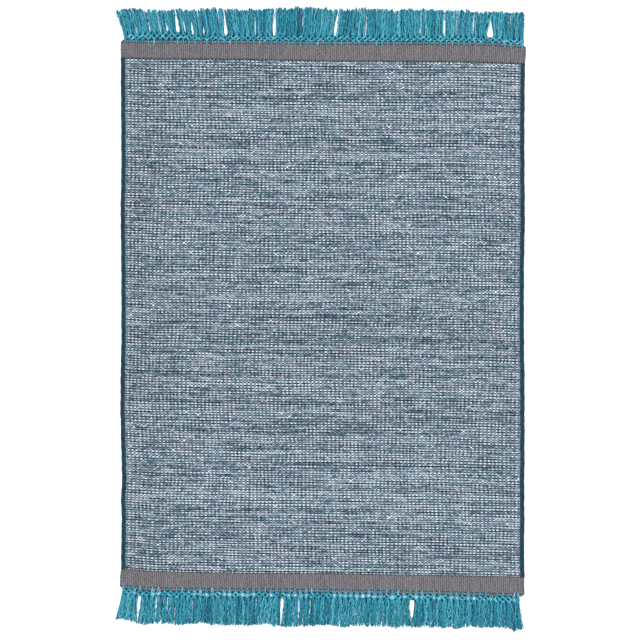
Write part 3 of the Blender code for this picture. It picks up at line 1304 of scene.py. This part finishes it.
class RUG_OT_bands(bpy.types.Operator):
    """Weave the ribbed grey bands and roll their hems"""

    bl_idname = "rug.bands"
    bl_label = "Weave the end bands"

    def execute(self, context):
        sizes = context.scene.rug_weave
        hook_pitch = context.scene.rug_fringe.hook_pitch
        material = band_material(context.scene.rug_colours)
        left, right = sides_at(0.0)
        ribs = int(round((right - left) / sizes.band_rib))
        columns = ribs * RIB_COLUMNS
        rows = len(BAND_ROWS) - 1
        table = np.array(BAND_ROWS, float)
        for place, end in ENDS.items():
            name = f"end_band_{place}"
            mesh = mesh_from(closed_grid(columns, rows), name)
            unit = points_of(mesh)
            row = steps_of(unit, 1, rows).astype(int)
            rib = steps_of(unit, 0, columns) / RIB_COLUMNS
            out, height, ribbing = table[row, 0] * MM, table[row, 1] * MM, table[row, 2]
            left, right = sides_at(end.outward * (HALF_LENGTH + np.minimum(out, 0)))
            x = left + rib / ribs * (right - left)
            x -= CORNER_CUT * np.clip(out / HEM_ROLL, 0, 1) * x / (right - left) * 2

            from_hook = x - NET_OFFSET_X - column_of(end.shifts, 1, x)
            loop = ridges(from_hook / hook_pitch) ** LOOP_ROUNDNESS
            on_roll = out > 0
            least_out, least_height = BETWEEN_LOOPS
            out = np.where(on_roll, out * (least_out + (1 - least_out) * loop), out)
            pinched = height * (least_height + (1 - least_height) * loop)
            height = np.where(on_roll, pinched, height)
            height = height + RIB_HEIGHT * ribbing * (ridges(rib) - 0.5)

            from_side = np.minimum(rib, ribs - rib)
            in_selvedge = from_side < SELVEDGE_RIBS / 2
            rise = SELVEDGE_RISE * ridges(rib * 2) * np.clip(-out / SELVEDGE_FADE, 0, 1)
            height = np.where(in_selvedge, height + rise, height)
            height = np.where(from_side == 0, height - SELVEDGE_DROP, height)

            depth = np.abs(end.hem(x) - end.joint(x))
            y = end.hem(x) + end.outward * np.where(on_roll, out, out * depth / BAND_WIDTH)
            z = over_floor(unit, np.maximum(height, THINNEST_HEM))
            set_points(mesh, points_at(x, y, z))
            note_points(mesh, "weave", points_at(rib, out / (sizes.pick_pitch / 2), out))
            finish_piece(name, mesh, material, "woven_cloth")
        return {"FINISHED"}


class RUG_OT_bindings(bpy.types.Operator):
    """Wrap the teal cords down both sides"""

    bl_idname = "rug.bindings"
    bl_label = "Wrap the side bindings"

    def execute(self, context):
        sizes = context.scene.rug_weave
        material = binding_material(context.scene.rug_colours)
        wraps = 2 * FIELD_HALF_LENGTH / sizes.wrap_pitch
        rings = int(wraps * WRAP_RINGS)
        section = np.array(BINDING_SECTION) * MM
        for side, name in ((-1, "left"), (1, "right")):
            mesh = mesh_from(closed_grid(len(section) - 1, rings), f"wrapped_binding_{name}")
            unit = points_of(mesh)
            corner = steps_of(unit, 0, len(section) - 1).astype(int)
            share = unit[:, 1] + 0.5
            across, up = section[corner].T
            wrap = share * wraps + WRAP_SLANT * across / sizes.binding_width
            ridge = ridges(wrap) ** WRAP_ROUNDNESS - WRAP_LEVEL
            level_y = (2 * share - 1) * FIELD_HALF_LENGTH
            edge = sides_at(level_y)[0 if side < 0 else 1]
            sway = sum(
                width * MM * np.sin(level_y * by_y + side * apart)
                for width, by_y, apart in BINDING_SWAYS
            )
            from_middle = (across - sizes.binding_width / 2) / (sizes.binding_width / 2)
            across = across + WRAP_DEPTH * ridge * from_middle
            x = edge + sway - side * across
            y = lie_between_joints(x, share)
            z = over_floor(unit, up + WRAP_DEPTH * ridge * (up > WRAP_FROM))
            set_points(mesh, points_at(x, y, np.maximum(z, 0.0)))
            note_points(mesh, "wrap", points_at(across, wrap, up))
            node = f"binding_{name}"
            piece = f"wrapped_binding_{name}"
            finish_piece(piece, mesh, material, node)
        return {"FINISHED"}


def hook_places(sizes, end):
    """Where the hooks go along the hem, and the places halfway between them."""
    last = (sizes.hooks - 1) / 2
    hooks = np.linspace(-last, last, sizes.hooks) * sizes.hook_pitch + NET_OFFSET_X
    hooks += column_of(end.shifts, 1, hooks)
    edge = sizes.hook_pitch * OUTER_KNOT_SHARE
    halves = (hooks[1:] + hooks[:-1]) / 2
    return hooks, np.concatenate([[hooks[0] - edge], halves, [hooks[-1] + edge]])


def knot_row(x, out, chance):
    """A row of knots, each a little out of line."""
    jitter = chance.uniform(-KNOT_JITTER, KNOT_JITTER, (len(x), 2))
    return points_at(x + jitter[:, 0], out + jitter[:, 1], KNOT_HEIGHT)


def bowed_legs(starts, ends, rise):
    """Cords from each start to each end, that rise over or dip under on their way."""
    share = np.linspace(0, 1, LEG_RINGS)[None, :, None]
    paths = starts[:, None] + share * (ends - starts)[:, None]
    paths[..., 2] += np.sin(pi * share[..., 0]) * rise * MM
    return paths


def plain_tones(count, rings, chance, depth=0.0):
    """Tones for lay_yarns: a chance for each yarn, the same painted shade all along and no tip.
    """
    tones = np.zeros((count, rings, 3))
    tones[..., 0] = chance.uniform(0, 1, count)[:, None]
    tones[..., 1] = depth
    return tones


def net_cords(sizes, end, hooks, knots, chance):
    """The hooks through a hem, and the cords that cross from row to row of the knots."""
    first, second, last = knots
    out, height = np.array(HOOK_STOPS).T * MM
    longer = first[:, 1:2] / out[-1]
    slide = np.linspace(0, 1, len(out)) ** 2
    hook_x = hooks[:, None] + (first[:, 0] - hooks)[:, None] * slide
    paths = np.concatenate([
        points_at(hook_x, np.where(out > 0, out * longer, out), height),
        bowed_legs(first, second[:-1], LEG_DIP),
        bowed_legs(first, second[1:], LEG_RISE),
        bowed_legs(second[:-1], last, LEG_RISE),
        bowed_legs(second[1:], last, LEG_DIP),
    ])
    spread = chance.uniform(*CORD_SPREAD, (len(paths), 1))
    radii = sizes.cord_width / 2 * spread * np.ones(LEG_RINGS)
    radii[:len(hooks)] *= end.hook_width
    tones = plain_tones(len(paths), LEG_RINGS, chance)
    tones[..., 0] = np.interp(tones[..., 0], (0, 1), CORD_CHANCES)
    return lay_yarns(end.placed(paths), radii, tones, LEG_SIDES, PLY_DEPTH)


def net_ground(sizes, end, hooks, halves, chance):
    """The flat yarns below a net, which close most of its gaps; they take the deep colour in
    full, as painted shade.
    """
    closed = chance.uniform(0, 1, len(hooks)) > end.open_share
    x = np.concatenate([hooks[closed], halves[1:-1]])
    furthest = column_of(end.net, 1, x) + GROUND_PAST
    share = np.linspace(0, 1, GROUND_RINGS)
    out = GROUND_START + share * (furthest - GROUND_START)[:, None]
    paths = end.placed(points_at(x[:, None], out, GROUND_HEIGHT))
    radii = np.full(out.shape, sizes.hook_pitch * GROUND_SHARE)
    tones = plain_tones(len(x), GROUND_RINGS, chance, 1.0)
    return lay_yarns(paths, radii, tones, GROUND_SIDES, flatness=GROUND_FLATNESS)


def net_knots(sizes, end, knots, chance):
    """The knots of a net."""
    knots = np.concatenate(knots)
    spread = chance.uniform(*KNOT_SPREAD, (len(knots), 1))
    radii = np.array(KNOT_SHAPE) * (sizes.cord_width / 2) * spread
    tones = np.zeros((len(knots), 3))
    tones[:, 0] = chance.uniform(*KNOT_CHANCES, len(knots))
    return lay_knots(end.placed(knots) + (0, 0, KNOT_LIFT), radii, tones)


def finish_fringe(kind, place, meshes, material):
    """Join the yarns of a net or a fringe into one piece at its end of the rug."""
    name = f"{kind}_{place}"
    mesh = join_meshes(meshes, name)
    finish_piece(name, mesh, material, f"fringe_{place}", YARN_SHARP_ANGLE)


class RUG_OT_nets(bpy.types.Operator):
    """Hook the yarns through both hems and knot them into nets"""

    bl_idname = "rug.nets"
    bl_label = "Knot the nets"

    def execute(self, context):
        sizes = context.scene.rug_fringe
        material = fringe_material("turquoise net yarn", context.scene.rug_colours, PLY_TURN)
        for place, end in ENDS.items():
            chance = np.random.RandomState(SEED + end.outward)
            hooks, halves = hook_places(sizes, end)
            knots = [
                knot_row(x, share * column_of(end.net, 1, x), chance)
                for x, share in zip((hooks, halves, hooks), KNOT_ROWS)
            ]
            meshes = [
                net_cords(sizes, end, hooks, knots, chance),
                net_ground(sizes, end, hooks, halves, chance),
                net_knots(sizes, end, knots, chance),
            ]
            finish_fringe("knotted_net", place, meshes, material)
        return {"FINISHED"}


def open_partings(lane, partings, share):
    """How far the partings push the yarns of each lane aside, at each share of the way."""
    table = np.array(partings, float) * MM
    away = lane[:, None, None] - table[None, None, :, 0]
    at_root, above = PARTING_ROOTS
    widths = PARTING_WIDTH * np.stack([
        np.interp(share, PARTING_STOPS, (at_root * low, above * low, middle, tip))
        for low, middle, tip in table[:, 1:]
    ], -1)
    push = np.sign(away) * widths[None] / 2 * np.exp(-np.abs(away) / PARTING_SPREAD)
    return push.sum(-1)


def tuft_middles(hooks, chance):
    """Where the tips draw together, and how much further each tuft reaches out."""
    widths = chance.uniform(*TUFT_WIDTHS, MOST_TUFTS)
    middles = hooks[0] - TUFT_MARGIN + np.cumsum(widths) - widths / 2
    kept = middles < hooks[-1] + TUFT_MARGIN
    return middles[kept], widths[kept] / 2, chance.uniform(*TUFT_REACH, kept.sum())


def lay_layer(sizes, end, layer, hooks, tufts, chance):
    """One layer of a fringe: some yarns from each last knot, each along its own path."""
    number = getattr(sizes, layer.yarns)
    place = (np.arange(number) + 0.5) / number - 0.5
    low, high = hooks[0] - ROOT_MARGINS[0], hooks[-1] + ROOT_MARGINS[1]
    root = (hooks[:, None] + place * sizes.hook_pitch * layer.root_width).ravel()
    root = np.clip(root, low, high)
    lane = (hooks[:, None] + place * sizes.hook_pitch).ravel()
    count = len(lane)
    lane = np.clip(lane + chance.uniform(-1, 1, count) * layer.wander, low, high)
    share = np.linspace(0, 1, layer.rings)

    middles, half_widths, reaches = tufts
    tuft = np.argmin(np.abs(lane[:, None] - middles), axis=1)
    off_middle = lane - middles[tuft]
    reach = column_of(end.fall, 2, lane) + reaches[tuft]
    reach -= TUFT_ROUNDING * np.clip(np.abs(off_middle) / half_widths[tuft], 0, 1) ** 2
    reach += chance.triangular(*YARN_REACH, count)

    fan = 1 - (1 - np.clip(share / FAN_SHARE, 0, 1)) ** 2
    x = root[:, None] + (lane - root)[:, None] * fan
    x += column_of(end.fall, 1, lane)[:, None] * share ** LEAN_CURVE
    x += open_partings(lane, end.partings, share)
    x -= TUFT_PULL * off_middle[:, None] * share ** 3
    x += chance.normal(0, TIP_SCATTER, (count, 1)) * share
    for turn, width in SWAYS:
        angle = share * turn * chance.uniform(*SWAY_TURNS, (count, 1))
        angle += chance.uniform(0, tau, (count, 1))
        sway = chance.uniform(*SWAY_WIDTHS, (count, 1)) * width * layer.wander * end.sway
        x += sway * np.sin(angle) * share ** SWAY_CURVE
    start = (column_of(end.net, 1, root) - ROOT_TUCK)[:, None]
    out = start + share * (reach[:, None] - start)
    resting = chance.uniform(*layer.heights, (count, 1))
    settled = np.clip(share / SETTLE_SHARE, 0, 1)
    z = layer.root_height + (resting - layer.root_height) * settled
    droop = np.interp(share, (1 - DROOP_SHARE, 1), (0, DROOP_DEPTH))
    z -= np.maximum(z - DROOP_FLOOR, 0) * droop
    paths = points_at(x, out, z)

    thickness = chance.uniform(*YARN_SPREAD, (count, 1)) * layer.thickness
    radii = sizes.yarn_width / 2 * thickness * np.interp(share, *YARN_SWELL)
    tones = plain_tones(count, layer.rings, chance)
    # Painted shade along each yarn, set by its layer
    tones[..., 1] = np.interp(share, PAINTED_SHADE_STOPS, layer.painted_shades)
    tones[..., 2] = np.interp(share, (1 - TIP_SHARE, 1), (0, 1))
    return lay_yarns(end.placed(paths), radii, tones, YARN_SIDES, flatness=layer.flatness)


class RUG_OT_fringe(bpy.types.Operator):
    """Lay the loose yarns of both fringes"""

    bl_idname = "rug.fringe"
    bl_label = "Lay the fringe"

    def execute(self, context):
        sizes = context.scene.rug_fringe
        colours = context.scene.rug_colours
        material = fringe_material("turquoise fringe yarn", colours, PLY_TURN_LOOSE)
        for place, end in ENDS.items():
            chance = np.random.RandomState(SEED * 3 + end.outward)
            hooks, _ = hook_places(sizes, end)
            tufts = tuft_middles(hooks, chance)
            meshes = [lay_layer(sizes, end, layer, hooks, tufts, chance) for layer in LAYERS]
            finish_fringe("loose_fringe", place, meshes, material)
        return {"FINISHED"}


class RUG_OT_declare(bpy.types.Operator):
    """A step that does nothing."""

    bl_idname = "rug.declare"
    bl_label = "State the cloth's flat size"

    def execute(self, context):
        return {"FINISHED"}


class RUG_OT_stage(bpy.types.Operator):
    """Set the floor, the light and the camera"""

    bl_idname = "rug.stage"
    bl_label = "Set the stage"

    def execute(self, context):
        stage = context.scene.rug_stage
        low, high = CAD_BOX
        bm = bmesh.new()
        bmesh.ops.create_grid(bm, x_segments=1, y_segments=1, size=FLOOR_SIZE)
        bmesh.ops.translate(bm, verts=bm.verts, vec=(0, 0, low[2] - FLOOR_DROP))
        floor = new_object("floor", mesh_from(bm, "floor"))
        floor.data.materials.append(floor_material(context.scene.rug_colours))

        world = bpy.data.worlds.new("soft studio")
        world.use_nodes = True
        sky = world.node_tree.nodes["Background"]
        sky.inputs["Color"].default_value = (1.0, 1.0, 1.0, 1.0)
        sky.inputs["Strength"].default_value = stage.sky
        context.scene.world = world

        lamp = bpy.data.lights.new("soft lamp", "SUN")
        lamp.energy = stage.lamp
        lamp.angle = stage.softness
        new_object("soft lamp", lamp).rotation_euler = LAMP_TURN

        camera = bpy.data.cameras.new("camera")
        camera.lens = stage.lens
        camera.sensor_width = SENSOR_WIDTH
        camera_object = new_object("camera", camera)
        distance = stage.lens / SENSOR_WIDTH * stage.view_width
        camera_object.location = (*CAMERA_PLACE, high[2] * FOCUS_SHARE + distance)
        context.scene.camera = camera_object
        context.scene.view_settings.view_transform = "Standard"
        return {"FINISHED"}


STEPS = (
    RUG_OT_stage,
    RUG_OT_field,
    RUG_OT_bands,
    RUG_OT_bindings,
    RUG_OT_nets,
    RUG_OT_fringe,
    RUG_OT_declare,
)


class RUG_PT_workshop(bpy.types.Panel):
    """The steps that make the rug, in their order"""

    bl_idname = "RUG_PT_workshop"
    bl_label = "Wool Rug"
    bl_space_type = "VIEW_3D"
    bl_region_type = "UI"
    bl_category = "Wool Rug"

    def draw(self, context):
        for step in STEPS:
            self.layout.operator(step.bl_idname)


SETTINGS = {
    "rug_weave": RugWeaveSettings,
    "rug_fringe": RugFringeSettings,
    "rug_colours": RugColourSettings,
    "rug_stage": RugStageSettings,
}


def register():
    for kind in (*SETTINGS.values(), *STEPS, RUG_PT_workshop):
        bpy.utils.register_class(kind)
    for name, kind in SETTINGS.items():
        setattr(bpy.types.Scene, name, PointerProperty(type=kind))


def unregister():
    for name in SETTINGS:
        delattr(bpy.types.Scene, name)
    for kind in (RUG_PT_workshop, *reversed(STEPS), *SETTINGS.values()):
        bpy.utils.unregister_class(kind)


def plain(box):
    """A box as plain lists."""
    return [[float(value) for value in corner] for corner in box]


def main():
    register()
    bpy.ops.rug.stage()
    bpy.ops.rug.field()
    bpy.ops.rug.bands()
    bpy.ops.rug.bindings()
    bpy.ops.rug.nets()
    bpy.ops.rug.fringe()
    bpy.ops.rug.declare()


if __name__ == "__main__":
    main()
